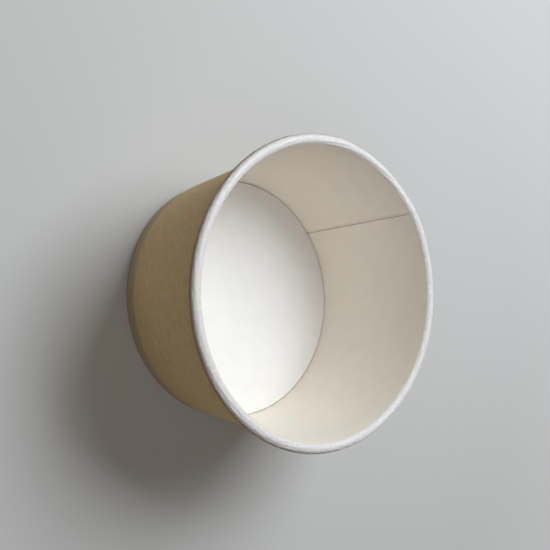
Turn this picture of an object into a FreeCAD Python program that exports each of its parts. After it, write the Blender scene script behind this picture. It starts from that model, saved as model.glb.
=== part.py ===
import FreeCAD, Part
import math
import os

# A paper soup container, in millimetres and degrees. +Z is up, and the origin is the centre of the ring
# that the container stands on.
#
# The side wall is one sheet of paperboard wrapped into a cone, lapped and sealed to itself at a seam. Its
# top edge is rolled outwards into a rim, and its bottom edge is folded in and up round the skirt of the
# base disc, so the heel has three layers of board. The disc sits above the standing ring, in a recess.
#
# Every section lies in a radial plane, with points written as Vector(radius, 0, height), and follows a
# line along the middle of the board. Headings are measured from the outward radius towards +Z. The side
# wall's line starts at the hem's cut edge and ends inside the rolled rim, so the right-hand side of the
# line is the board's outside face all the way, and the left-hand side its coated inside face.

Vector = FreeCAD.Vector
ORIGIN = Vector(0, 0, 0)
AXIS = Vector(0, 0, 1)

# Driving dimensions
RIM_DIAMETER = 115.0        # outside of the rolled rim, which a press-on lid fits
HEIGHT = 62.0               # standing ring to the top of the rolled rim
WALL_TAPER = 6.2            # lean of the side wall
BOARD = 0.45                # paperboard with its coating
BEAD_DIAMETER = 4.0         # rolled rim
DISC_HEIGHT = 7.8           # standing ring to the top of the base disc

# Rolled rim: a half turn at the bead's radius, a tighter half turn, and a quarter turn tucked inside
ROLL_INNER_RADIUS = 1.5
ROLL_TUCK_RADIUS = 1.05

# Heel: the band of three layers pressed together round the disc's skirt
HEEL_HEIGHT = 7.7           # crease between the wall and the heel band
HEEL_TAPER = 8.6            # lean of the heel band
CREASE_RADIUS = 2.0
FOLD_RADIUS = 0.5           # outside of each of the two bends under the heel
HEM_HEIGHT = 6.4            # standing ring to the hem's cut edge
GLUE_GAP = 0.04             # between layers that are sealed to each other

# Base disc
DISC_BEND_RADIUS = 0.3      # middle of the board, where the disc turns down into its skirt
SKIRT_HEIGHT = 1.0          # standing ring to the skirt's cut edge

# Side seam: the inner lap's cut edge is at SEAM_ANGLE, and the overlap runs clockwise from there
SEAM_ANGLE = 124.6          # from +X towards +Y
SEAM_LAP = 8.0              # width of the overlap at the heel
SEAM_BOARD = 0.3            # outer lap, thinned by the press that seals it
RAMP_TURN = 3.5             # turn in which a lap steps over the other's cut edge

# Bends are made of short flats, so that the rim and the folds stay light
RIM_STEP = 30.0             # most that one flat turns on the outside of the rolled rim
FOLD_STEP = 45.0            # and elsewhere, where the bends are small or out of sight

# Worked out from the above
WALL_HEADING = 90.0 - WALL_TAPER
HEEL_HEADING = 90.0 - HEEL_TAPER
HALF_BOARD = BOARD / 2
BEAD_RADIUS = BEAD_DIAMETER / 2
ROLL_RADIUS = BEAD_RADIUS - HALF_BOARD
LAYER_STEP = (BOARD + GLUE_GAP) / math.cos(math.radians(HEEL_TAPER))


def unit(angle):
    """Vector one long at an angle in the radial plane."""
    return Vector(math.cos(math.radians(angle)), 0, math.sin(math.radians(angle)))


def carried_to(height, point, heading):
    """Where a straight line through the point reaches a height."""
    return point + unit(heading) * ((height - point.z) / math.sin(math.radians(heading)))


class Run:
    """A straight stretch of board from start to end."""

    def __init__(self, start, end):
        self.start = start
        self.end = end
        self.heading = math.degrees(math.atan2(end.z - start.z, end.x - start.x))

    def points(self, shift):
        """The stretch's points, moved to the right of the board's middle by shift."""
        aside = unit(self.heading - 90) * shift
        return [self.start + aside, self.end + aside]


class Bend:
    """A bend that begins at start with a heading and turns by an angle, to the left if positive."""

    def __init__(self, start, heading, radius, turn, largest_step):
        self.side = math.copysign(1, turn)
        self.radius = radius
        self.turn = turn
        self.flats = math.ceil(abs(turn) / largest_step)
        self.first = heading - 90 * self.side
        self.centre = start - unit(self.first) * radius
        self.heading = heading + turn
        self.end = self.points(0)[-1]

    def points(self, shift):
        """The stretch's points, moved to the right of the board's middle by shift."""
        angles = [self.first + self.turn * flat / self.flats for flat in range(self.flats + 1)]
        return [self.centre + unit(angle) * (self.radius + self.side * shift) for angle in angles]


def rounded_line(corners, radii):
    """Runs from corner to corner, with a bend of its own radius at each inner one."""
    stretches = []
    start = corners[0]
    for before, corner, after, radius in zip(corners, corners[1:], corners[2:], radii):
        arriving = Run(before, corner).heading
        leaving = Run(corner, after).heading
        turn = (leaving - arriving + 180) % 360 - 180
        setback = radius * math.tan(math.radians(abs(turn) / 2))
        run = Run(start, corner - unit(arriving) * setback)
        bend = Bend(run.end, arriving, radius, turn, FOLD_STEP)
        stretches += [run, bend]
        start = bend.end
    return stretches + [Run(start, corners[-1])]


def shifted(line, shift):
    """All the points of a line moved to its right by shift."""
    points = line[0].points(shift)[:1]
    for stretch in line:
        points += stretch.points(shift)[1:]
    return points


def board_section(line, left=-HALF_BOARD, right=HALF_BOARD):
    """Closed outline between two shifts of a line: one layer of board, unless they say otherwise."""
    outline = shifted(line, left) + shifted(line, right)[::-1]
    return Part.makePolygon(outline + outline[:1])


def turned(section, angle):
    """A section turned about the container's axis."""
    copy = section.copy()
    copy.rotate(ORIGIN, AXIS, angle)
    return copy


def swept(section, first_angle, last_angle):
    """Solid that a section passes through as it turns from one angle to the other."""
    face = Part.Face(turned(section, first_angle))
    return face.revolve(ORIGIN, AXIS, last_angle - first_angle)


def blended(first_section, first_angle, last_section, last_angle):
    """Solid between two sections with like points that stand at different angles."""
    return Part.makeLoft([turned(first_section, first_angle), turned(last_section, last_angle)], True, True)


def wall_corners():
    """Middle of the board at the crease over the heel band and where the rolled rim starts."""
    roll_centre = Vector(RIM_DIAMETER / 2 - BEAD_RADIUS, 0, HEIGHT - BEAD_RADIUS)
    wall_top = roll_centre + unit(WALL_HEADING + 90) * ROLL_RADIUS
    return carried_to(HEEL_HEIGHT, wall_top, WALL_HEADING), wall_top


def wall_line(foot_lift=0.0, bead_growth=0.0):
    """Middle of the side wall's board, with its foot raised or its rim's bead widened where it is lapped."""
    crease, wall_top = wall_corners()
    foot = carried_to(HALF_BOARD + foot_lift, crease, HEEL_HEADING)
    hem_foot = foot - Vector(2 * LAYER_STEP, 0, 0)
    hem_end = carried_to(HEM_HEIGHT, hem_foot, HEEL_HEADING)
    fold_radius = FOLD_RADIUS - HALF_BOARD
    corners = [hem_end, hem_foot, foot, crease, wall_top]
    line = rounded_line(corners, [fold_radius, fold_radius, CREASE_RADIUS])
    outer_radius = ROLL_RADIUS + bead_growth / 2
    roll = [
        (outer_radius, -WALL_HEADING, RIM_STEP),
        (outer_radius, -90, RIM_STEP),
        (ROLL_INNER_RADIUS, -180, FOLD_STEP),
        (ROLL_TUCK_RADIUS, -90, FOLD_STEP),
    ]
    for radius, turn, step in roll:
        line.append(Bend(line[-1].end, line[-1].heading, radius, turn, step))
    return line


def side_wall():
    """The wrapped sheet with its rolled rim, folded heel and lapped seam."""
    single = board_section(wall_line())
    lapped_line = wall_line(foot_lift=SEAM_BOARD, bead_growth=SEAM_BOARD)
    inner_lap = board_section(lapped_line)
    outer_lap = board_section(lapped_line, HALF_BOARD, HALF_BOARD + SEAM_BOARD)

    lap_end = SEAM_ANGLE - math.degrees(SEAM_LAP / wall_corners()[0].x)
    before_lap = lap_end - RAMP_TURN
    after_seam = SEAM_ANGLE + RAMP_TURN
    wall = swept(single, after_seam, before_lap + 360)
    pieces = [
        blended(single, before_lap, inner_lap, lap_end),
        swept(inner_lap, lap_end, SEAM_ANGLE),
        swept(outer_lap, lap_end, SEAM_ANGLE),
        blended(outer_lap, SEAM_ANGLE, single, after_seam),
    ]
    return wall.fuse(pieces).removeSplitter()


def base_disc():
    """The disc that closes the container, with its skirt turned down inside the heel."""
    crease = wall_corners()[0]
    rim = carried_to(DISC_HEIGHT - HALF_BOARD, crease, HEEL_HEADING) - Vector(LAYER_STEP, 0, 0)
    skirt_end = carried_to(SKIRT_HEIGHT, rim, HEEL_HEADING)
    centre = Vector(0, 0, rim.z)
    line = rounded_line([centre, rim, skirt_end], [DISC_BEND_RADIUS])
    return swept(board_section(line), 0, 360)


def write_step(name, shape):
    """Write one sub-part, which has to be one sound solid."""
    if len(shape.Solids) != 1 or not shape.isValid():
        raise ValueError(f"{name} is not one sound solid")
    shape.Solids[0].exportStep(f"parts/{name}.step")


os.makedirs("parts", exist_ok=True)
write_step("side_wall", side_wall())
write_step("base_disc", base_disc())
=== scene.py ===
import bpy
import numpy as np
from bpy.props import FloatProperty, FloatVectorProperty, PointerProperty
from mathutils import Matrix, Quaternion, Vector


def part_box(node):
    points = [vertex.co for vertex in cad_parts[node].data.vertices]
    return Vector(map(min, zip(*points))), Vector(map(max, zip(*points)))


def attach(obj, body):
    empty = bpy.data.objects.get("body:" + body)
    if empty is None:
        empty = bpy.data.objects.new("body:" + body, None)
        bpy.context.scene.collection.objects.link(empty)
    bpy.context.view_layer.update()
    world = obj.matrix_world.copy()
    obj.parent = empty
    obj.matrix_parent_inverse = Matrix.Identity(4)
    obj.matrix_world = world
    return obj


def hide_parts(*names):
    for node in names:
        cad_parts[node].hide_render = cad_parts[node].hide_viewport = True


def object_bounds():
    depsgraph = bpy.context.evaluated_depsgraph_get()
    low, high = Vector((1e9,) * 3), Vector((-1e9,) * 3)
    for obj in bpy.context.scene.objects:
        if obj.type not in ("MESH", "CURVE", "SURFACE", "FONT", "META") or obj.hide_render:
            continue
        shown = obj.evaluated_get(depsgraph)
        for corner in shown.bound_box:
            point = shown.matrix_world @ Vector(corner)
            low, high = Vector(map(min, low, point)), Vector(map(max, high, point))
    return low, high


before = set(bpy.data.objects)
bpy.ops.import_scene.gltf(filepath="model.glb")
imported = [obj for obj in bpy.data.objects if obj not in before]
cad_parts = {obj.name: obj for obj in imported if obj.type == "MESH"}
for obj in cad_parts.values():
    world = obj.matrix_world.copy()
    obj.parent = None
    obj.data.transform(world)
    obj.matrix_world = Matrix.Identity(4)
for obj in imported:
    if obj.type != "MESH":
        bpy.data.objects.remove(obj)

bl_info = {
    "name": "Paper soup container",
    "version": (1, 0, 0),
    "blender": (4, 5, 0),
    "location": "View3D > Sidebar > Container",
    "description": "Paperboard soup container with a rolled rim, a lapped seam and a recessed base disc",
    "category": "Add Mesh",
}

# Everything is in metres, in the frame's own axes: +Z is up through the open mouth, and the origin is the
# centre of the standing ring. Azimuths run from +X towards +Y. A board's cross-section lies in the plane of
# radius and height, where headings are measured from the outward radius towards +Z.

CAD_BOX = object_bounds()
WALL_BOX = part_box("side_wall")
DISC_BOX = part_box("base_disc")
MM = 0.001

# Marks in the board: how high or deep each is, and how far it reaches
STREAK_HEIGHT = 0.042 * MM          # streaks along the rolled rim
WRINKLE_HEIGHT = 0.042 * MM         # wrinkles across the rolled rim
WRINKLE_DIP = 0.4                   # most that a wrinkle goes down, as a share of its height
ROOT_GROOVE_DEPTH = 0.11 * MM       # groove where the rolled rim starts
ROOT_GROOVE_REACH = 0.6 * MM
PINCH_DEPTH = 0.10 * MM             # dip of the inner lap beside the seam's inner cut edge
PINCH_REACH = 1.5 * MM
PINCH_RISE = 0.7                    # rise on the cut edge's other side, as a share of the dip
PINCH_RISE_REACH = 1.2 * MM
RIDGE_HEIGHT = 0.06 * MM            # low ridge, with its top RIDGE_PLACE over the crease
RIDGE_PLACE = 0.7 * MM
RIDGE_REACH = 0.6 * MM
BAND_DEPTH = 0.10 * MM              # heel band, pressed in from BAND_START over the floor up to the crease
BAND_START = 0.9 * MM
RIM_WAVE_HEIGHT = 0.07 * MM         # slow rise and fall of the rim
DISC_WAVE_HEIGHT = 0.10 * MM        # slow waves of the disc
DISC_BOWL_DEPTH = 0.12 * MM         # hollow in the middle of the disc

SHARP_EDGE = np.radians(38)         # an edge that turns more than this isn't shaded smooth


# ---------------------------------------------------------------------------------------------------------
# Settings
# ---------------------------------------------------------------------------------------------------------

def length(name, description, default):
    """A length in metres that the user can change."""
    return FloatProperty(name=name, description=description, default=default, min=0, unit="LENGTH",
                         subtype="DISTANCE", precision=5)


def turn(name, description, degrees):
    """An angle that the user can change."""
    return FloatProperty(name=name, description=description, default=np.radians(degrees), unit="ROTATION",
                         subtype="ANGLE")


def colour(name, description, default):
    """A colour that the user can change, in linear light."""
    return FloatVectorProperty(name=name, description=description, default=default, size=3, min=0, max=1,
                               subtype="COLOR")


class ContainerSizes(bpy.types.PropertyGroup):
    """Sizes of the two pieces of board."""

    rim_diameter: length("Rim diameter", "Outside of the rolled rim", 2 * WALL_BOX[1].y)
    height: length("Height", "Standing ring to the top of the rolled rim, away from the seam", 62 * MM)
    wall_taper: turn("Wall taper", "Lean of the side wall", 6.2)
    board: length("Board", "Thickness of the paperboard", 0.45 * MM)
    bead_diameter: length("Bead diameter", "Thickness of the rolled rim", 4.0 * MM)
    roll_inner_radius: length("Inner roll radius", "Middle of the board in the second half turn", 1.5 * MM)
    roll_tuck_radius: length("Tuck radius", "Middle of the board where its edge is tucked in", 1.05 * MM)
    heel_height: length("Heel height", "Standing ring to the crease over the heel band", 7.7 * MM)
    heel_taper: turn("Heel taper", "Lean of the heel band", 8.6)
    crease_radius: length("Crease radius", "Bend between the wall and the heel band", 2.0 * MM)
    fold_radius: length("Fold radius", "Outside of each bend under the heel", 0.5 * MM)
    hem_height: length("Hem height", "Standing ring to the hem's cut edge", 6.4 * MM)
    glue_gap: length("Glue gap", "Gap between layers that are sealed together", 0.04 * MM)
    disc_height: length("Disc height", "Standing ring to the top of the base disc", DISC_BOX[1].z)
    disc_bend_radius: length("Disc bend radius", "Middle of the board where the disc turns down", 0.24 * MM)
    skirt_height: length("Skirt height", "Standing ring to the cut edge of the disc's skirt", 1.0 * MM)
    seam_azimuth: turn("Seam azimuth", "Cut edge of the inner lap, from +X towards +Y", 124.6)
    seam_lap: length("Seam lap", "Width of the overlap at the heel", 8.0 * MM)
    seam_board: length("Seam board", "Thickness of the outer lap, thinned by the press", 0.3 * MM)
    ramp_turn: turn("Ramp turn", "Turn in which a lap steps over the other's cut edge", 1.8)
    seam_lean: turn("Seam lean", "Turn that the seam's cut edge loses from the floor up to the rim", 1.9)
    feather: length("Feather", "Thickness of the inner lap at its cut edge on the rolled rim", 0.02 * MM)
    feather_width: length("Feather width", "Width over which the inner lap thins on the rim", 1.2 * MM)


class BoardColours(bpy.types.PropertyGroup):
    """Colours of the paperboard's faces, with painted shade low on the rim, on the heel band and in the
    disc's bend.
    """

    kraft: colour("Kraft", "Uncoated outside face", (0.600, 0.455, 0.265))
    fibre: colour("Fibre", "Darker fibres in the kraft face", (0.300, 0.195, 0.095))
    coating: colour("Coating", "Coated inside face of the side wall", (0.928, 0.866, 0.776))
    rim_coating: colour("Rim coating", "Coated face stretched round the rim", (0.820, 0.784, 0.775))
    # Painted shade: the low outer side of the rolled rim is darkened to brown in place of the shade under
    # the rim
    rim_underside_shade: colour("Rim side", "Coating stretched thin, low on the rim", (0.290, 0.190, 0.125))
    disc_coating: colour("Disc coating", "Coated face of the base disc", (0.884, 0.866, 0.850))
    # Painted shade: the bend where the base disc turns down is tinted darker olive in place of the shade in
    # the groove by the wall
    disc_bend_shade: colour("Disc edge", "Sealed line where the base disc turns down", (0.600, 0.550, 0.390))
    # Painted shade: the heel band is made darker and greyer in place of the shade of the band turned away
    # from the light
    heel: colour("Heel", "Outside face where the heel band is pressed", (0.410, 0.338, 0.242))
    cut_edge: colour("Cut edge", "Raw edge of the board", (0.360, 0.265, 0.150))


class StageSettings(bpy.types.PropertyGroup):
    """Floor, lights and camera."""

    floor: colour("Floor", "Floor as the camera sees it", (0.640, 0.635, 0.625))
    floor_bounce: colour("Floor bounce", "Floor as it lights the container", (0.840, 0.780, 0.670))
    surroundings: colour("Surroundings", "Room as the camera sees it", (0.740, 0.735, 0.725))
    fill: colour("Fill", "Light from all round", (1.0, 0.76, 0.52))
    fill_strength: FloatProperty(name="Fill strength", description="Strength of the light from all round",
                                 default=0.09, min=0)
    lamp: colour("Lamp", "Colour of the lamps", (0.885, 0.950, 1.0))
    key_power: FloatProperty(name="Key power", description="Power of the main lamp", default=5.8, min=0,
                             unit="POWER")
    key_azimuth: turn("Key azimuth", "Where the main lamp stands, from +X towards +Y", 142)
    key_elevation: turn("Key elevation", "Height of the main lamp over the horizon", 57)
    lamp_distance: length("Lamp distance", "Each lamp to the middle of the standing ring", 0.8)
    lamp_size: length("Lamp size", "Side of each lamp", 0.5)
    side_power: FloatProperty(name="Side power", description="Power of the weak second lamp",
                              default=0.85, min=0, unit="POWER")
    side_azimuth: turn("Side azimuth", "Where the second lamp stands, from +X towards +Y", -62)
    side_elevation: turn("Side elevation", "Height of the second lamp over the horizon", 56)
    camera_azimuth: turn("Camera azimuth", "Where the camera stands, from +X towards +Y", -85.250)
    camera_elevation: turn("Camera elevation", "Height of the camera over the horizon", 50.638)
    camera_roll: turn("Camera roll", "Turn of the camera about its own line of sight", 84.563)
    camera_distance: length("Camera distance", "Camera to the point it looks at", 0.32289)
    camera_lens: FloatProperty(name="Camera lens", description="Focal length in millimetres, 36 mm sensor",
                               default=54.701, min=1, unit="CAMERA")
    camera_aim: FloatVectorProperty(name="Camera aim", description="Point that the camera looks at", size=3,
                                    default=(-0.00774, 0.00072, 0.0310), unit="LENGTH", subtype="XYZ")


# ---------------------------------------------------------------------------------------------------------
# Cross-sections
# ---------------------------------------------------------------------------------------------------------

def unit(headings):
    """Vectors one long at the headings: their cosines outwards and their sines upwards."""
    return np.stack([np.cos(headings), np.sin(headings)], axis=-1)


def carried_to(height, point, heading):
    """Where a straight line through the point at a heading reaches a height."""
    return point + unit(heading) * ((height - point[1]) / np.sin(heading))


class BoardLine:
    """Middle of a board's cross-section: straight runs and bends, each going on from the one before.

    points holds (radius, height) and headings the direction of travel at each of them.
    """

    def __init__(self, start, heading):
        self.points = np.array([start])
        self.headings = np.array([heading])

    def run(self, end, parts):
        """Straight on to end: point = last point + (end - last point) * share, closer at both ends.

        share = 3 * step squared - 2 * step cubed, for equal steps from 0 to 1.
        """
        share = eased(np.arange(1, parts + 1) / parts)[:, None]
        last = self.points[-1]
        self.points = np.concatenate([self.points, last + (end - last) * share])
        self.headings = np.append(self.headings, np.full(parts, self.headings[-1]))

    def bend(self, radius, turned, parts):
        """Arc: point = centre + radius * unit(angle), with the centre a radius away on the inner side.

        The bend goes to the left where turned is positive, and to the right where it is negative.
        """
        first = self.headings[-1] - np.copysign(np.pi / 2, turned)
        centre = self.points[-1] - radius * unit(first)
        gone = turned * np.arange(1, parts + 1) / parts
        self.points = np.concatenate([self.points, centre + radius * unit(first + gone)])
        self.headings = np.append(self.headings, self.headings[-1] + gone)

    def faces(self, left, right):
        """Closed outline: the line moved right by one shift, then back along the line moved by the other.

        left and right hold shifts, with a row for each station and one column, or one for each point.
        """
        aside = unit(self.headings - np.pi / 2)
        right_face = self.points + aside * right[..., None]
        left_face = self.points + aside * left[..., None]
        return np.concatenate([right_face, left_face[:, ::-1]], axis=1)

    def travel(self):
        """Distance gone along the line at each point, added up from point to point."""
        steps = np.linalg.norm(np.diff(self.points, axis=0), axis=1)
        return np.append(0, np.cumsum(steps))


def rounded_line(corners, radii, run_parts, bend_parts):
    """Runs from corner to corner, with an arc of its own radius fitted into each inner corner.

    The arc starts before the corner by radius * tan(half the turn), and ends as far beyond it.
    """
    ways = np.diff(corners, axis=0)
    headings = np.arctan2(ways[:, 1], ways[:, 0])
    line = BoardLine(corners[0], headings[0])
    turns = zip(corners[1:], headings, headings[1:], radii, run_parts)
    for corner, arriving, leaving, radius, parts in turns:
        turned = (leaving - arriving + np.pi) % (2 * np.pi) - np.pi
        setback = radius * np.tan(abs(turned) / 2)
        line.run(corner - unit(arriving) * setback, parts)
        line.bend(radius, turned, bend_parts)
    line.run(corners[-1], run_parts[-1])
    return line


def wall_corners(sizes):
    """Middle of the board at the crease over the heel band and where the rolled rim starts."""
    bead_radius = sizes.bead_diameter / 2
    heading = np.pi / 2 - sizes.wall_taper
    roll_centre = np.array([sizes.rim_diameter / 2 - bead_radius, sizes.height - bead_radius])
    wall_top = roll_centre + unit(heading + np.pi / 2) * (bead_radius - sizes.board / 2)
    return carried_to(sizes.heel_height, wall_top, heading), wall_top


def layer_step(sizes):
    """How far one layer of board in the heel lies inside the next, level with the floor."""
    return (sizes.board + sizes.glue_gap) / np.cos(sizes.heel_taper)


def wall_line(sizes, foot_lift=0.0, bead_growth=0.0):
    """Middle of the side wall's board, from the hem's cut edge to the edge tucked into the rolled rim.

    The hem comes down inside the heel, turns outwards under it, goes up as the heel band, leans back at the
    crease into the wall, and then rolls outwards: one turn at the bead's radius, less at smaller ones.
    """
    crease, wall_top = wall_corners(sizes)
    heel_heading = np.pi / 2 - sizes.heel_taper
    foot = carried_to(sizes.board / 2 + foot_lift, crease, heel_heading)
    hem_foot = foot - np.array([2 * layer_step(sizes), 0])
    hem_end = carried_to(sizes.hem_height, hem_foot, heel_heading)
    fold_radius = sizes.fold_radius - sizes.board / 2
    line = rounded_line(np.array([hem_end, hem_foot, foot, crease, wall_top]),
                        [fold_radius, fold_radius, sizes.crease_radius], [2, 1, 11, 28], 4)
    outer_radius = (sizes.bead_diameter - sizes.board + bead_growth) / 2
    line.bend(outer_radius, sizes.wall_taper - np.pi / 2, 11)
    line.bend(outer_radius, -np.pi / 2, 9)
    line.bend(sizes.roll_inner_radius, -np.pi, 7)
    line.bend(sizes.roll_tuck_radius, -np.pi / 2, 3)
    return line


def disc_line(sizes):
    """Middle of the base disc's board, from the container's axis out to the rim and down the skirt."""
    crease = wall_corners(sizes)[0]
    heel_heading = np.pi / 2 - sizes.heel_taper
    middle = sizes.disc_height - sizes.board / 2
    edge = carried_to(middle, crease, heel_heading) - np.array([layer_step(sizes), 0])
    skirt_end = carried_to(sizes.skirt_height, edge, heel_heading)
    return rounded_line(np.array([[0, middle], edge, skirt_end]), [sizes.disc_bend_radius], [36, 4], 6)


# ---------------------------------------------------------------------------------------------------------
# Shapes
# ---------------------------------------------------------------------------------------------------------

def eased(share):
    """Goes smoothly from 0 to 1 as the share does: 3 * share squared - 2 * share cubed."""
    share = np.clip(share, 0, 1)
    return share * share * (3 - 2 * share)


def out_of_round(azimuths, heights, full_height):
    """Factor on the radius: the mouth is a little oval, and the stiff base is nearly round.

    1 + mouth * share + base * (1 - share), where share is the height as a share of the full height, and
    mouth and base are each a cosine and a sine of twice the azimuth.
    """
    share = heights / full_height
    swing = 2 * azimuths
    mouth = -0.0085 * np.cos(swing) - 0.0151 * np.sin(swing)
    base = 0.0038 * np.cos(swing) + 0.0016 * np.sin(swing)
    return 1 + mouth * share + base * (1 - share)


def rippled(azimuths, lowest, highest, seed):
    """Uneven waves round the container, of about unit height: sines of many whole counts per turn.

    Each count from lowest to highest has a drawn height and start, and the sum is divided by its spread.
    """
    draw = np.random.default_rng(seed)
    counts = np.arange(lowest, highest + 1)
    heights = draw.normal(size=counts.size)
    starts = draw.uniform(0, 2 * np.pi, counts.size)
    waves = np.sin(azimuths[:, None] * counts + starts) @ heights
    return waves / np.sqrt((heights ** 2).sum() / 2)


def streaked(azimuths, turned, seed):
    """Uneven streaks that run nearly along the bead, of about unit height: sines of azimuth plus turn.

    Each streak repeats a drawn whole count of times round the rim and a drawn number of times per radian
    round the bead, and the sines of those sums come from products of the sines and cosines of each part.
    """
    draw = np.random.default_rng(seed)
    streaks = 40
    counts = np.round(draw.uniform(-70, 70, streaks))
    rates = draw.uniform(4, 15, streaks)
    heights = draw.normal(size=streaks)
    along = azimuths[:, None] * counts + draw.uniform(0, 2 * np.pi, streaks)
    across = turned[None] * rates[:, None]
    waves = (np.sin(along) @ (heights[:, None] * np.cos(across))
             + np.cos(along) @ (heights[:, None] * np.sin(across)))
    return waves / np.sqrt((heights ** 2).sum() / 2)


def dents(azimuths, turned, radius, bead_radius):
    """Depths of the small dents in the bead: each is a bell curve over two distances, turned by its slant.

    Rows of (azimuth, turn round the bead, length, width, slant, depth), in degrees and millimetres.
    """
    rows = np.array([
        (4.0, 95, 0.55, 0.30, 10, 0.10),
        (12.0, 83, 1.60, 0.22, 28, 0.06),
        (15.8, 68, 1.40, 0.22, 30, 0.05),
        (-31.0, 78, 2.20, 0.25, -14, 0.04),
        (63.0, 70, 1.80, 0.25, 22, 0.04),
        (151.0, 64, 2.40, 0.28, -18, 0.04),
        (-118.0, 88, 2.00, 0.30, 16, 0.05),
    ])
    place, turn_at, long, wide, slant, deep = rows.T[:, :, None, None]
    along = ((azimuths[None, :, None] - np.radians(place) + np.pi) % (2 * np.pi) - np.pi) * radius
    across = (turned[None, None] - np.radians(turn_at)) * bead_radius
    slant = np.radians(slant)
    first = along * np.cos(slant) + across * np.sin(slant)
    second = across * np.cos(slant) - along * np.sin(slant)
    bells = deep * np.exp(-(first / (long * MM)) ** 2 - (second / (wide * MM)) ** 2)
    return bells.sum(axis=0) * MM


def in_space(sections, azimuths, full_height, lean=0.0):
    """Points in space from rows of (radius, height), one row at each azimuth, with the mouth out of round.

    The rim is also a little wavy: heights rise and fall by rippled * share cubed, where share is the height
    as a share of the full height. The azimuth falls by the lean as the share goes from 0 to 1, and stays
    as given half way up.
    """
    radii, heights = sections[..., 0], sections[..., 1]
    share = heights / full_height
    turned = azimuths[:, None] + lean * (0.5 - share)
    radii = radii * out_of_round(turned, heights, full_height)
    heights = heights + RIM_WAVE_HEIGHT * rippled(azimuths, 2, 7, 41)[:, None] * share ** 3
    return np.stack([radii * np.cos(turned), radii * np.sin(turned), heights], axis=-1)


def grid_quads(stations, around, closed_rows):
    """Four corners of every cell of a grid of stations by outline points, where the outline closes.

    closed_rows joins the last station to the first as well. Cells face outwards where the azimuth falls
    from station to station and the outline goes up the outside.
    """
    first = np.arange(stations if closed_rows else stations - 1)[:, None]
    second = (first + 1) % stations
    here = np.arange(around)[None]
    beyond = (here + 1) % around
    row, next_row = first * around, second * around
    return np.stack([row + here, row + beyond, next_row + beyond, next_row + here], axis=-1).reshape(-1, 4)


def add_piece(name, vertices, faces, materials, face_materials, node):
    """A mesh object that stands for a node of the frame, rides on the body and has the given finishes."""
    if not np.isfinite(vertices).all():
        raise ValueError(f"{name} has points that aren't finite, so one of its sizes is out of range")
    mesh = bpy.data.meshes.new(name)
    mesh.from_pydata(vertices.tolist(), [], [list(face) for face in faces])
    for material in materials:
        mesh.materials.append(material)
    mesh.polygons.foreach_set("material_index", face_materials.astype(np.int32))
    mesh.shade_smooth()
    mesh.set_sharp_from_angle(angle=SHARP_EDGE)
    if mesh.validate():
        raise ValueError(f"{name} has faces that aren't sound")
    piece = bpy.data.objects.new(name, mesh)
    bpy.context.scene.collection.objects.link(piece)
    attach(piece, "root")
    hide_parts(node)
    return piece


def add_uv_map(mesh, name, places):
    """UV map from one place for each vertex, copied to every face corner that uses the vertex."""
    corners = np.empty(len(mesh.loops), np.int32)
    mesh.loops.foreach_get("vertex_index", corners)
    layer = mesh.uv_layers.new(name=name)
    layer.data.foreach_set("uv", places[corners].astype(np.float32).ravel())


def add_share(mesh, name, shares):
    """Attribute that holds one share from 0 to 1 for each vertex."""
    layer = mesh.attributes.new(name, "FLOAT", "POINT")
    layer.data.foreach_set("value", shares.astype(np.float32).ravel())


def sheet_stations(sizes, lap):
    """Turns along the wrapped sheet from the inner cut edge to the outer one, close together at the seam.

    The stretches between the stops are the lap, a ramp, the rest of the wall, a ramp, and the lap again.
    """
    ramp = sizes.ramp_turn
    stops = [0, lap, lap + ramp, 2 * np.pi - ramp, 2 * np.pi, 2 * np.pi + lap]
    parts = [16, 8, 490, 14, 16]
    stretches = [np.linspace(start, end, count, endpoint=False)
                 for start, end, count in zip(stops, stops[1:], parts)]
    return np.append(np.concatenate(stretches), stops[-1])


def bead_turn(sizes, line):
    """Angle turned since the rolled rim began, and a share that is 1 on the bead's outer face.

    The share eases from 0 to 1 as the roll begins, and back to 0 where the board goes in under itself.
    """
    start = np.flatnonzero(np.isclose(line.headings, np.pi / 2 - sizes.wall_taper))[-1]
    turned = line.headings[start] - line.headings
    turned[:start] = 0
    easing_turn, hidden_turn = 0.8, 3.6
    return turned, eased(turned / easing_turn) * eased((hidden_turn - turned) / easing_turn)


def wall_outline(sizes, line, on_bead, stations, lap):
    """The wrapped sheet as a closed shell: its outline at each station along the sheet.

    The line of the lapped board and that of the single board are mixed by a share that is 1 in the lap and
    eases to 0 beside it, more slowly in the upper half. The two faces lie half a board either side of the
    line. In the outer lap the coated face moves out by a board and a glue gap, on to the inner lap, and the
    kraft face by the thinned board. On the rolled rim the step is pressed flat: the coated face sinks a
    little over a wide ramp, and the rest of the way under the inner lap, which thins to a feather there.
    """
    ramp, wide_ramp = sizes.ramp_turn, 3 * sizes.ramp_turn
    half = sizes.board / 2
    layer = sizes.board + sizes.glue_gap
    lapped = wall_line(sizes, sizes.seam_board, sizes.seam_board)
    along = stations[:, None]
    feather_turn = sizes.feather_width / (sizes.rim_diameter / 2)

    stepped_out = eased((along - (2 * np.pi - ramp)) / ramp)
    first_step = 1.3 * sizes.feather / layer    # so that the feather lies just clear of the board under it
    pressed_step = (first_step * eased((along - (2 * np.pi - wide_ramp)) / wide_ramp)
                    + (1 - first_step) * eased((along - 2 * np.pi) / feather_turn))
    thinned = (sizes.board - sizes.feather) * (1 - eased(along / feather_turn)) * on_bead
    left = -half + (stepped_out * (1 - on_bead) + pressed_step * on_bead) * layer
    right = half + stepped_out * sizes.seam_board - thinned

    upper = line.points[:, 1] > sizes.height / 2
    lap_ramp = np.where(upper, wide_ramp, ramp)
    share = np.maximum(1 - eased((along - lap) / lap_ramp),
                       eased((along - (2 * np.pi - lap_ramp)) / lap_ramp))
    share = np.concatenate([share, share[:, ::-1]], axis=1)[..., None]
    return line.faces(left, right) * (1 - share) + lapped.faces(left, right) * share


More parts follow.
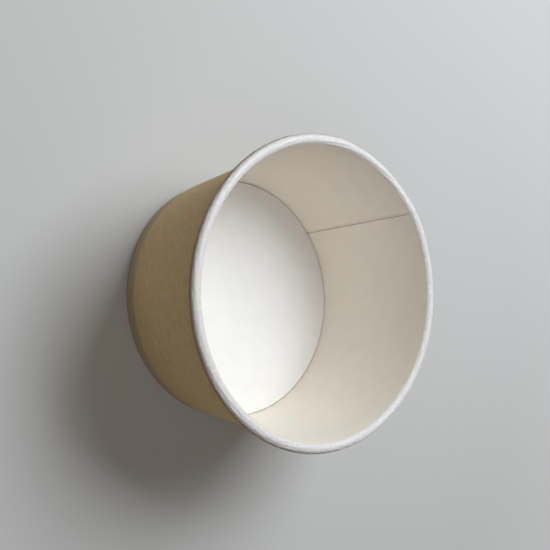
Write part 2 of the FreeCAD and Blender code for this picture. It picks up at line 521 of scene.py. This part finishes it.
def coated_relief(sizes, line, turned, on_bead, stations, azimuths):
    """Height of the coated face over its plain place, at every station and point of the line.

    On the bead the face has long uneven streaks, a few dents, and fine squeezed wrinkles that come and go
    in patches. A shallow groove runs along its root: a bell curve of the distance along the board. On the
    wall the inner lap dips towards its cut edge, and the board beyond the edge rises to meet it, both as
    the square of how near the edge is.
    """
    patches = 0.4 + 0.6 * eased(0.5 + 0.6 * rippled(azimuths, 2, 9, 5))
    wrinkles = np.minimum(rippled(azimuths, 60, 190, 11) * patches, WRINKLE_DIP)
    on_rim = STREAK_HEIGHT * streaked(azimuths, turned, 31) - WRINKLE_HEIGHT * wrinkles[:, None]
    on_rim -= dents(azimuths, turned, sizes.rim_diameter / 2, sizes.bead_diameter / 2)
    travel = line.travel()
    from_root = travel - travel[np.argmax(turned > 0) - 1]
    groove = ROOT_GROOVE_DEPTH * np.exp(-(from_root / ROOT_GROOVE_REACH) ** 2)

    radius = wall_corners(sizes)[0][0]
    before_edge = np.clip(1 - stations * radius / PINCH_REACH, 0, 1) ** 2
    beyond_edge = np.clip(1 - (2 * np.pi - stations) * radius / PINCH_RISE_REACH, 0, 1) ** 2
    beyond_edge *= stations < 2 * np.pi
    pinch = (PINCH_RISE * beyond_edge - before_edge)[:, None] * PINCH_DEPTH
    return on_bead * on_rim - groove + (1 - on_bead) * pinch


def kraft_relief(sizes, line, turned):
    """Height of the kraft face over its plain place at every point of the line, the same all round.

    The heel band is pressed in, which leaves a low ridge over the crease: a bell curve of the height.
    """
    heights = line.points[:, 1]
    past_fold = np.arange(len(heights)) > np.argmin(heights)
    over_crease = heights - sizes.heel_height
    ridge = RIDGE_HEIGHT * np.exp(-((over_crease - RIDGE_PLACE) / RIDGE_REACH) ** 2)
    under_crease = eased(-over_crease / (0.5 * MM))
    over_foot = eased((heights - BAND_START) / (0.8 * MM))
    band = BAND_DEPTH * under_crease * over_foot
    return np.where(past_fold & (turned == 0), ridge - band, 0)


def make_side_wall(sizes, colours):
    """Shell of the side wall, with its rim, heel and seam, and its three finishes."""
    line = wall_line(sizes)
    turned, on_bead = bead_turn(sizes, line)
    crease_radius = wall_corners(sizes)[0][0]
    lap = sizes.seam_lap / crease_radius
    stations = sheet_stations(sizes, lap)
    azimuths = sizes.seam_azimuth - stations
    outline = wall_outline(sizes, line, on_bead, stations, lap)
    count = len(line.points)
    around = 2 * count

    coated = coated_relief(sizes, line, turned, on_bead, stations, azimuths)
    kraft = kraft_relief(sizes, line, turned)
    aside = unit(line.headings - np.pi / 2)
    outline[:, :count] += kraft[:, None] * aside
    outline[:, count:] -= (coated[..., None] * aside)[:, ::-1]

    vertices = in_space(outline, azimuths, sizes.height, sizes.seam_lean).reshape(-1, 3)
    quads = grid_quads(len(stations), around, False)
    strip = np.arange(count - 1)
    first_cut = np.stack([around - 1 - strip, around - 2 - strip, strip + 1, strip], axis=-1)
    last_cut = (len(stations) - 1) * around + first_cut[:, ::-1]
    faces = np.concatenate([quads, first_cut, last_cut])

    column = np.tile(np.arange(around), len(stations) - 1)
    finish = np.select([column < count - 1, (column >= count) & (column < around - 1)], [0, 1], 2)
    finish = np.append(finish, np.full(2 * (count - 1), 2))

    coordinates = ("UV", "board")
    # The rim's outer face takes the rim coating, and low on its outer side a painted shade
    rim_tints = {"stretched": colours.rim_coating, "rim_underside_shade": colours.rim_underside_shade}
    materials = [kraft_face(colours, coordinates),
                 coated_face(colours.coating, rim_tints, coordinates, "wall coating"),
                 cut_edge(colours, coordinates)]
    piece = add_piece("side_wall_board", vertices, faces, materials, finish, "side_wall")

    travel = line.travel()
    along = np.append(travel, travel[::-1])
    middle_radius = crease_radius + 3 * MM
    places = np.stack(np.broadcast_arrays(stations[:, None] * middle_radius, along[None]), axis=-1)
    add_uv_map(piece.data, "board", places.reshape(-1, 2))
    # The heel band's share carries a painted shade on the kraft
    pressed_top, pressed_fade = sizes.heel_height + 0.25 * MM, 0.2 * MM
    # From this turn round the bead onwards, the coating fades into the painted shade of the rim's low outer
    # side
    side_start, side_fade = np.radians(124), np.radians(42)
    shares = {
        "pressed": eased((pressed_top - line.points[:, 1]) / pressed_fade),
        "stretched": on_bead,
        "rim_underside_shade": eased((turned - side_start) / side_fade),
    }
    for name, values in shares.items():
        both_faces = np.append(values, values[::-1])
        add_share(piece.data, name, np.broadcast_to(both_faces, (len(stations), around)))
    return piece


def make_base_disc(sizes, colours):
    """Shell of the base disc: its outline carried round the axis, with both poles closed by a fan."""
    line = disc_line(sizes)
    stations = 300
    azimuths = -np.linspace(0, 2 * np.pi, stations, endpoint=False)
    half = np.full((stations, 1), sizes.board / 2)
    outline = line.faces(-half, half)

    # The disc is pressed slightly hollow, and is a little uneven: a shallow bowl plus slow waves that grow
    # outwards from the middle and die away at the bend
    calm_start, calm_fade = 0.70, 0.28
    reach = outline[..., 0] / line.points[:, 0].max()
    bowl = 1 - eased(reach)
    near_edge = eased((reach - calm_start) / calm_fade)
    waves = rippled(azimuths, 2, 5, 23)[:, None] * reach ** 2 * (1 - near_edge)
    on_disc = outline[..., 1] > sizes.disc_height - 1.0 * MM
    outline[..., 1] += np.where(on_disc, DISC_WAVE_HEIGHT * waves - DISC_BOWL_DEPTH * bowl, 0)

    # The line starts on the axis, so the first and last points of every outline are the same two poles
    outline = outline[:, ::-1]
    around = outline.shape[1]
    ring = in_space(outline[:, 1:-1], azimuths, sizes.height)
    poles = np.array([[0, 0, outline[0, 0, 1]], [0, 0, outline[0, -1, 1]]])
    vertices = np.concatenate([ring.reshape(-1, 3), poles])
    wide = around - 2
    quads = grid_quads(stations, wide, True)
    quads = quads[(np.arange(len(quads)) % wide) != wide - 1]
    here = np.arange(stations)
    beyond = (here + 1) % stations
    pole = np.full(stations, stations * wide)
    first_fan = np.stack([pole, here * wide, beyond * wide], axis=-1)
    last_fan = np.stack([pole + 1, beyond * wide + wide - 1, here * wide + wide - 1], axis=-1)
    faces = quads.tolist() + first_fan.tolist() + last_fan.tolist()

    column = np.tile(np.arange(wide - 1), stations)
    finish = np.append(np.where(column == len(line.points) - 2, 1, 0), np.zeros(2 * stations))
    coordinates = ("Object", "")
    # Where the disc turns down it takes a painted shade of the groove between disc and wall
    bend_shade_tint = {"turned_down": colours.disc_bend_shade}
    materials = [coated_face(colours.disc_coating, bend_shade_tint, coordinates, "disc coating"),
                 cut_edge(colours, coordinates)]
    piece = add_piece("base_disc_board", vertices, faces, materials, finish, "base_disc")
    edge_turn = 0.6
    turned_down = eased(-line.headings / edge_turn)
    turned_down = np.append(turned_down, turned_down[::-1])[::-1][1:-1]
    shares = np.append(np.broadcast_to(turned_down, (stations, wide)).ravel(), [0, 0])
    add_share(piece.data, "turned_down", shares)
    return piece


# ---------------------------------------------------------------------------------------------------------
# Finishes
# ---------------------------------------------------------------------------------------------------------

class Finish:
    """A node material under construction, with its Principled shader joined to the output."""

    def __init__(self, name):
        self.material = bpy.data.materials.new(name)
        self.material.use_nodes = True
        self.tree = self.material.node_tree
        self.shader = self.tree.nodes["Principled BSDF"]

    def node(self, kind, **settings):
        """A new node with its settings."""
        made = self.tree.nodes.new(kind)
        for key, value in settings.items():
            setattr(made, key, value)
        return made

    def link(self, output, socket):
        """Join an output to an input."""
        self.tree.links.new(output, socket)

    def coordinates(self, source, scale):
        """Coordinates of the board's surface, in metres, times a scale for each axis.

        source is ("UV", name of the map), or ("Object", "") for the object's own coordinates.
        """
        kind, name = source
        if kind == "UV":
            place = self.node("ShaderNodeUVMap", uv_map=name).outputs["UV"]
        else:
            place = self.node("ShaderNodeTexCoord").outputs["Object"]
        mapping = self.node("ShaderNodeMapping")
        mapping.inputs["Scale"].default_value = scale
        self.link(place, mapping.inputs["Vector"])
        return mapping.outputs["Vector"]

    def noise(self, source, scale, detail, roughness=0.5):
        """Cloudy noise on the board, with cells about 1 / scale metres across on each axis."""
        made = self.node("ShaderNodeTexNoise")
        made.inputs["Scale"].default_value = 1
        made.inputs["Detail"].default_value = detail
        made.inputs["Roughness"].default_value = roughness
        self.link(self.coordinates(source, scale), made.inputs["Vector"])
        return made.outputs["Fac"]

    def ramp(self, value, start, end, low=0.0, high=1.0):
        """A value carried from one range to another, held at both ends."""
        made = self.node("ShaderNodeMapRange")
        for socket, number in zip(("From Min", "From Max", "To Min", "To Max"), (start, end, low, high)):
            made.inputs[socket].default_value = number
        self.link(value, made.inputs["Value"])
        return made.outputs["Result"]

    def mixed(self, share, first, second):
        """Two colours mixed by a share; each may be a colour or another node's output."""
        made = self.node("ShaderNodeMix", data_type="RGBA")
        self.link(share, made.inputs["Factor"])
        for socket, value in ((made.inputs["A"], first), (made.inputs["B"], second)):
            target = [s for s in made.inputs if s.name == socket.name and s.type == "RGBA"][0]
            if isinstance(value, bpy.types.NodeSocket):
                self.link(value, target)
            else:
                target.default_value = (*value, 1)
        return [s for s in made.outputs if s.type == "RGBA"][0]

    def bumped(self, value, distance):
        """Fine relief of a height in metres, from a value between 0 and 1."""
        made = self.node("ShaderNodeBump")
        made.inputs["Strength"].default_value = 1
        made.inputs["Distance"].default_value = distance
        self.link(value, made.inputs["Height"])
        self.link(made.outputs["Normal"], self.shader.inputs["Normal"])


def scaled(colour_value, factor):
    """A colour made lighter or darker, kept in range."""
    return tuple(min(1.0, channel * factor) for channel in colour_value)


def kraft_face(colours, source):
    """Uncoated kraft: cloudy formation, fine fibres that lie mostly round the sheet, a few dark ones, and a
    painted shade on the heel band.
    """
    finish = Finish("kraft face")
    clouds = finish.ramp(finish.noise(source, (290, 360, 1), 4, 0.6), 0.35, 0.65)
    fibres = finish.ramp(finish.noise(source, (1100, 3000, 1), 2), 0.35, 0.68)
    shives = finish.ramp(finish.noise(source, (650, 2600, 1), 1), 0.74, 0.80)
    base = finish.mixed(clouds, scaled(colours.kraft, 0.90), scaled(colours.kraft, 1.08))
    base = finish.mixed(finish.ramp(fibres, 0, 1, high=0.24), base, tuple(colours.fibre))
    base = finish.mixed(finish.ramp(shives, 0, 1, high=0.5), base, tuple(colours.fibre))
    # Painted shade: on the pressed heel band the kraft is mixed towards the darker, greyer heel colour
    pressed = finish.node("ShaderNodeAttribute", attribute_name="pressed").outputs["Fac"]
    base = finish.mixed(finish.ramp(pressed, 0, 1, high=0.92), base, tuple(colours.heel))
    finish.link(base, finish.shader.inputs["Base Color"])
    finish.link(finish.ramp(clouds, 0, 1, 0.66, 0.78), finish.shader.inputs["Roughness"])
    finish.shader.inputs["Specular IOR Level"].default_value = 0.35
    finish.bumped(finish.noise(source, (2600, 3800, 1), 3, 0.6), 0.012 * MM)
    return finish.material


def coated_face(tint, tints, source, name):
    """White board under a thin clear coating: faint clouds, and a soft sheen with a fine orange peel.

    tints maps the name of an attribute to the colour that the face takes where its share is 1.
    """
    finish = Finish(name)
    clouds = finish.ramp(finish.noise(source, (160, 190, 160), 3), 0.35, 0.65)
    base = finish.mixed(clouds, scaled(tint, 0.985), scaled(tint, 1.01))
    blotches = finish.ramp(finish.noise(source, (800, 1000, 800), 3), 0.35, 0.65)
    for attribute, other_tint in tints.items():
        share = finish.node("ShaderNodeAttribute", attribute_name=attribute).outputs["Fac"]
        blotched = finish.mixed(blotches, scaled(other_tint, 0.93), scaled(other_tint, 1.06))
        base = finish.mixed(share, base, blotched)
    finish.link(base, finish.shader.inputs["Base Color"])
    finish.link(finish.ramp(clouds, 0, 1, 0.40, 0.50), finish.shader.inputs["Roughness"])
    finish.shader.inputs["Specular IOR Level"].default_value = 0.45
    finish.bumped(finish.noise(source, (1100, 1300, 1100), 2, 0.5), 0.006 * MM)
    return finish.material


def cut_edge(colours, source):
    """Raw edge of the board: brown, with fine layers of fibre."""
    finish = Finish("cut edge")
    fibres = finish.noise(source, (4000, 4000, 4000), 3)
    base = finish.mixed(fibres, scaled(colours.cut_edge, 0.8), scaled(colours.cut_edge, 1.25))
    finish.link(base, finish.shader.inputs["Base Color"])
    finish.link(finish.ramp(fibres, 0, 1, 0.75, 0.95), finish.shader.inputs["Roughness"])
    finish.bumped(fibres, 0.03 * MM)
    return finish.material


# ---------------------------------------------------------------------------------------------------------
# Stage
# ---------------------------------------------------------------------------------------------------------

def seen_directly(tree):
    """1 for rays from the camera, in a reflection or through a clear thing, and 0 for light that spreads."""
    path = tree.nodes.new("ShaderNodeLightPath")
    total = path.outputs["Is Camera Ray"]
    for name in ("Is Glossy Ray", "Is Transmission Ray"):
        largest = tree.nodes.new("ShaderNodeMath")
        largest.operation = "MAXIMUM"
        tree.links.new(total, largest.inputs[0])
        tree.links.new(path.outputs[name], largest.inputs[1])
        total = largest.outputs[0]
    return total


def split_by_ray(tree, lighting, shown):
    """One shader for the light that spreads, and another for what is seen directly."""
    choice = tree.nodes.new("ShaderNodeMixShader")
    tree.links.new(seen_directly(tree), choice.inputs[0])
    tree.links.new(lighting, choice.inputs[1])
    tree.links.new(shown, choice.inputs[2])
    return choice.outputs[0]


def floor_material(stage):
    """Matt pale floor: it fades into the room's colour far away, and sends up light mostly from close by."""
    fade_start, fade_end = 0.20, 0.70
    bounce_start, bounce_end, far_bounce = 0.10, 0.30, 0.25

    finish = Finish("floor")
    finish.tree.nodes.remove(finish.shader)
    reach = finish.node("ShaderNodeVectorMath", operation="LENGTH")
    finish.link(finish.node("ShaderNodeTexCoord").outputs["Object"], reach.inputs[0])
    away = reach.outputs["Value"]

    near = finish.node("ShaderNodeBsdfDiffuse")
    near.inputs["Color"].default_value = (*stage.floor, 1)
    far = finish.node("ShaderNodeEmission")
    far.inputs["Color"].default_value = (*stage.surroundings, 1)
    shown = finish.node("ShaderNodeMixShader")
    finish.link(finish.ramp(away, fade_start, fade_end), shown.inputs[0])
    finish.link(near.outputs[0], shown.inputs[1])
    finish.link(far.outputs[0], shown.inputs[2])

    sent_up = finish.node("ShaderNodeBsdfDiffuse")
    bounce = finish.mixed(finish.ramp(away, bounce_start, bounce_end), stage.floor_bounce,
                          scaled(stage.floor_bounce, far_bounce))
    finish.link(bounce, sent_up.inputs["Color"])
    surface = split_by_ray(finish.tree, sent_up.outputs[0], shown.outputs[0])
    finish.link(surface, finish.tree.nodes["Material Output"].inputs["Surface"])
    return finish.material


def make_floor(stage):
    """A flat square of floor, wide enough for every view, just under the standing ring."""
    reach = 3.0
    corners = [(-reach, -reach, 0), (reach, -reach, 0), (reach, reach, 0), (-reach, reach, 0)]
    mesh = bpy.data.meshes.new("floor")
    mesh.from_pydata(corners, [], [(0, 1, 2, 3)])
    mesh.materials.append(floor_material(stage))
    floor = bpy.data.objects.new("floor", mesh)
    floor.location.z = CAD_BOX[0].z - 0.05 * MM
    bpy.context.scene.collection.objects.link(floor)


def make_world(stage):
    """Even light from all round, seen directly as a pale room."""
    world = bpy.data.worlds.new("room")
    world.use_nodes = True
    tree = world.node_tree
    tree.nodes.clear()
    light = tree.nodes.new("ShaderNodeBackground")
    light.inputs["Color"].default_value = (*stage.fill, 1)
    light.inputs["Strength"].default_value = stage.fill_strength
    shown = tree.nodes.new("ShaderNodeBackground")
    shown.inputs["Color"].default_value = (*stage.surroundings, 1)
    output = tree.nodes.new("ShaderNodeOutputWorld")
    tree.links.new(split_by_ray(tree, light.outputs[0], shown.outputs[0]), output.inputs["Surface"])
    bpy.context.scene.world = world


def direction(azimuth, elevation):
    """Unit vector towards an azimuth and an elevation."""
    level = np.cos(elevation)
    return Vector((level * np.cos(azimuth), level * np.sin(azimuth), np.sin(elevation)))


def make_lamp(stage, name, power, azimuth, elevation):
    """A large square lamp in a direction from the standing ring's centre, which it faces."""
    lamp = bpy.data.lights.new(name, "AREA")
    lamp.energy = power
    lamp.color = stage.lamp
    lamp.size = stage.lamp_size
    holder = bpy.data.objects.new(name, lamp)
    towards = direction(azimuth, elevation)
    holder.location = towards * stage.lamp_distance
    holder.rotation_mode = "QUATERNION"
    holder.rotation_quaternion = (-towards).to_track_quat("-Z", "Y")
    bpy.context.scene.collection.objects.link(holder)


def make_camera(stage):
    """The camera looks down into the open mouth, rolled so that the container seems to lie on its side."""
    data = bpy.data.cameras.new("camera")
    data.sensor_width = 36
    data.lens = stage.camera_lens
    data.clip_start = 0.005
    data.clip_end = 20
    camera = bpy.data.objects.new("camera", data)
    towards = direction(stage.camera_azimuth, stage.camera_elevation)
    camera.location = Vector(stage.camera_aim) + towards * stage.camera_distance
    camera.rotation_mode = "QUATERNION"
    level = (-towards).to_track_quat("-Z", "Y")
    camera.rotation_quaternion = level @ Quaternion((0, 0, 1), stage.camera_roll)
    bpy.context.scene.collection.objects.link(camera)
    bpy.context.scene.camera = camera


# ---------------------------------------------------------------------------------------------------------
# Operators and panel
# ---------------------------------------------------------------------------------------------------------

class OBJECT_OT_add_side_wall(bpy.types.Operator):
    """Add the wrapped side wall with its rolled rim, folded heel and lapped seam"""

    bl_idname = "object.add_container_side_wall"
    bl_label = "Side wall"

    def execute(self, context):
        make_side_wall(context.scene.container_sizes, context.scene.container_colours)
        return {"FINISHED"}


class OBJECT_OT_add_base_disc(bpy.types.Operator):
    """Add the disc that closes the container, with its skirt turned down inside the heel"""

    bl_idname = "object.add_container_base_disc"
    bl_label = "Base disc"

    def execute(self, context):
        make_base_disc(context.scene.container_sizes, context.scene.container_colours)
        return {"FINISHED"}


class SCENE_OT_set_stage(bpy.types.Operator):
    """Set the floor, the light and the camera"""

    bl_idname = "scene.set_container_stage"
    bl_label = "Stage"

    def execute(self, context):
        stage = context.scene.container_stage
        make_floor(stage)
        make_world(stage)
        make_lamp(stage, "key", stage.key_power, stage.key_azimuth, stage.key_elevation)
        make_lamp(stage, "side", stage.side_power, stage.side_azimuth, stage.side_elevation)
        make_camera(stage)
        context.scene.view_settings.view_transform = "Standard"
        return {"FINISHED"}


class VIEW3D_PT_container(bpy.types.Panel):
    """Sizes, colours and operators of the container"""

    bl_label = "Paper soup container"
    bl_space_type = "VIEW_3D"
    bl_region_type = "UI"
    bl_category = "Container"

    def draw(self, context):
        scene = context.scene
        for operator in OPERATORS:
            self.layout.operator(operator.bl_idname)
        for title, group in (("Sizes", scene.container_sizes), ("Colours", scene.container_colours),
                             ("Stage", scene.container_stage)):
            box = self.layout.box()
            box.label(text=title)
            for name in group.__annotations__:
                box.prop(group, name)


OPERATORS = (OBJECT_OT_add_side_wall, OBJECT_OT_add_base_disc, SCENE_OT_set_stage)
CLASSES = (ContainerSizes, BoardColours, StageSettings, *OPERATORS, VIEW3D_PT_container)


def register():
    for cls in CLASSES:
        bpy.utils.register_class(cls)
    bpy.types.Scene.container_sizes = PointerProperty(type=ContainerSizes)
    bpy.types.Scene.container_colours = PointerProperty(type=BoardColours)
    bpy.types.Scene.container_stage = PointerProperty(type=StageSettings)


def unregister():
    del bpy.types.Scene.container_stage
    del bpy.types.Scene.container_colours
    del bpy.types.Scene.container_sizes
    for cls in reversed(CLASSES):
        bpy.utils.unregister_class(cls)


def main():
    register()
    bpy.ops.object.add_container_side_wall()
    bpy.ops.object.add_container_base_disc()
    bpy.ops.scene.set_container_stage()


if __name__ == "__main__":
    main()
